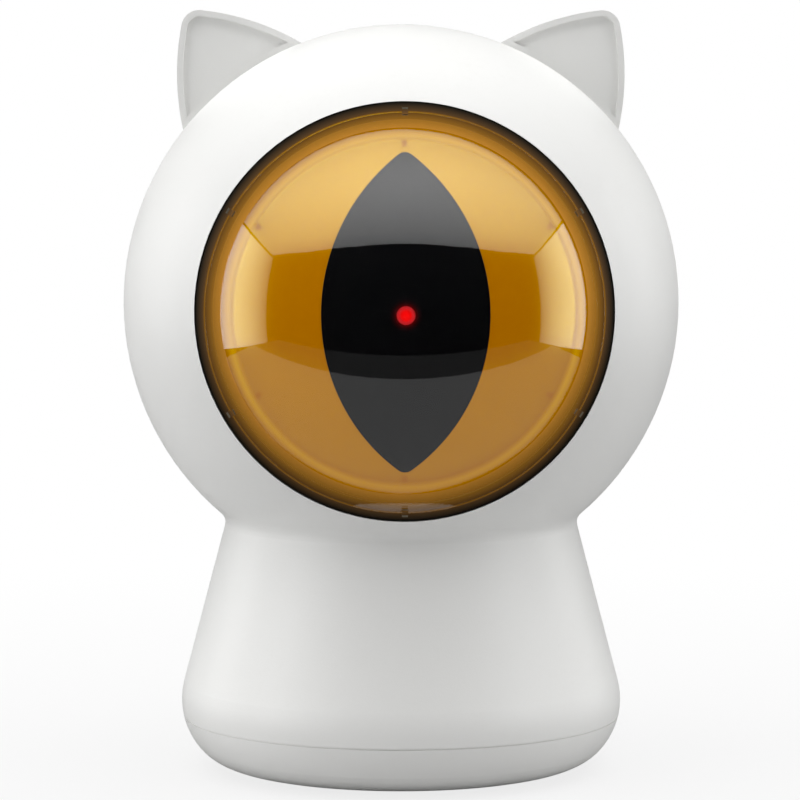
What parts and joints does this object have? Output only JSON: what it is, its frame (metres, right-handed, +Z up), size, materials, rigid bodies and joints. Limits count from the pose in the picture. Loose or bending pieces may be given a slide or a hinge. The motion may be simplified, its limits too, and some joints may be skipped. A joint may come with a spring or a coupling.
{
  "type": "cat laser toy",
  "caption": "Ball shaped cat head with ears on a flared pedestal; a motor driven eyeball behind a clear dome aims a red laser from its pupil.",
  "frame": {"origin": "middle of the rubber feet's underside, which is what it stands on", "axes": "+Z up, the eye looks along -Y, +X to the right as seen from the front"},
  "size_m": [0.11, 0.11, 0.1505],
  "materials": {
    "shell_white": "satin white moulded ABS, fine even sheen",
    "bezel_dark": "dark olive brown glossy moulded ring",
    "dome_clear": "clear polished acrylic dome",
    "iris_gold": "amber gold metallised lacquer, satin",
    "pupil_black": "deep black, smooth",
    "cup_brown": "dark amber brown moulded plastic",
    "laser_brass": "turned brass barrel",
    "laser_red": "red lit laser lens",
    "frame_grey": "dark grey glass filled nylon",
    "gear_natural": "natural acetal gears",
    "steel": "ground steel pins and zinc plated screws",
    "bush_bronze": "sintered bronze",
    "motor_can": "drawn steel can and gearbox",
    "foot_rubber": "soft dark rubber pads",
    "board_green": "green solder mask",
    "socket_metal": "bright plated socket shell",
    "switch_black": "black switch housing",
    "button_grey": "light grey moulded button",
    "battery_wrap": "blue heat shrunk film"
  },
  "bodies": {
    "housing": {"front_shell": "shell_white", "rear_shell": "shell_white", "left_ear": "shell_white", "right_ear": "shell_white", "base_plate": "shell_white", "rubber_feet": "foot_rubber", "lens_bezel": "bezel_dark", "dome_lens": "dome_clear", "gimbal_chassis": "frame_grey", "pan_bushes": "bush_bronze", "pan_motor": "motor_can", "battery_pack": "battery_wrap", "main_board": "board_green", "board_screws": "steel", "tact_switch": "switch_black", "usb_socket": "socket_metal", "case_screws": "steel", "base_screws": "steel", "chassis_screws": "steel"},
    "pan_yoke": {"gimbal_ring": "frame_grey", "pan_gear": "gear_natural", "pan_pins": "steel", "tilt_pins": "steel", "tilt_motor": "motor_can"},
    "eyeball": {"eye_cup": "cup_brown", "iris_cap": "iris_gold", "pupil_insert": "pupil_black", "laser_module": "laser_brass", "laser_lens": "laser_red", "eye_carrier": "frame_grey", "tilt_gear": "gear_natural", "tilt_bushes": "bush_bronze", "carrier_screws": "steel"},
    "pan_drive": {"pan_shaft": "steel", "pan_pinion": "gear_natural"},
    "tilt_drive": {"tilt_shaft": "steel", "tilt_pinion": "gear_natural"},
    "button": {"power_button": "button_grey", "switch_plunger": "switch_black"}
  },
  "joints": [
    {"name": "eye_pan", "type": "hinge", "parent": "housing", "child": "pan_yoke", "pos_m": [0, 0, 0.0927], "axis": [0, 0, 1], "range_deg": [-25, 25]},
    {"name": "eye_tilt", "type": "hinge", "parent": "pan_yoke", "child": "eyeball", "pos_m": [0, 0, 0.0927], "axis": [1, 0, 0], "range_deg": [-10, 20]},
    {"name": "pan_pinion_spin", "type": "hinge", "parent": "housing", "child": "pan_drive", "pos_m": [0, 0.0208, 0.0927], "axis": [0, 0, 1], "range_deg": [-84, 84]},
    {"name": "tilt_pinion_spin", "type": "hinge", "parent": "pan_yoke", "child": "tilt_drive", "pos_m": [0.0205, 0.01, 0.07446], "axis": [1, 0, 0], "range_deg": [-67, 34]},
    {"name": "power_button_press", "type": "slide", "parent": "housing", "child": "button", "axis": [0, -0.9668, -0.2554], "range_m": [0, 0.0008], "stiffness_N_per_m": 1000, "springref_m": -0.001}
  ],
  "couplings": [
    {"joint": "pan_pinion_spin", "follows": "eye_pan", "ratio": -3.3333},
    {"joint": "tilt_pinion_spin", "follows": "eye_tilt", "ratio": -3.3333}
  ]
}
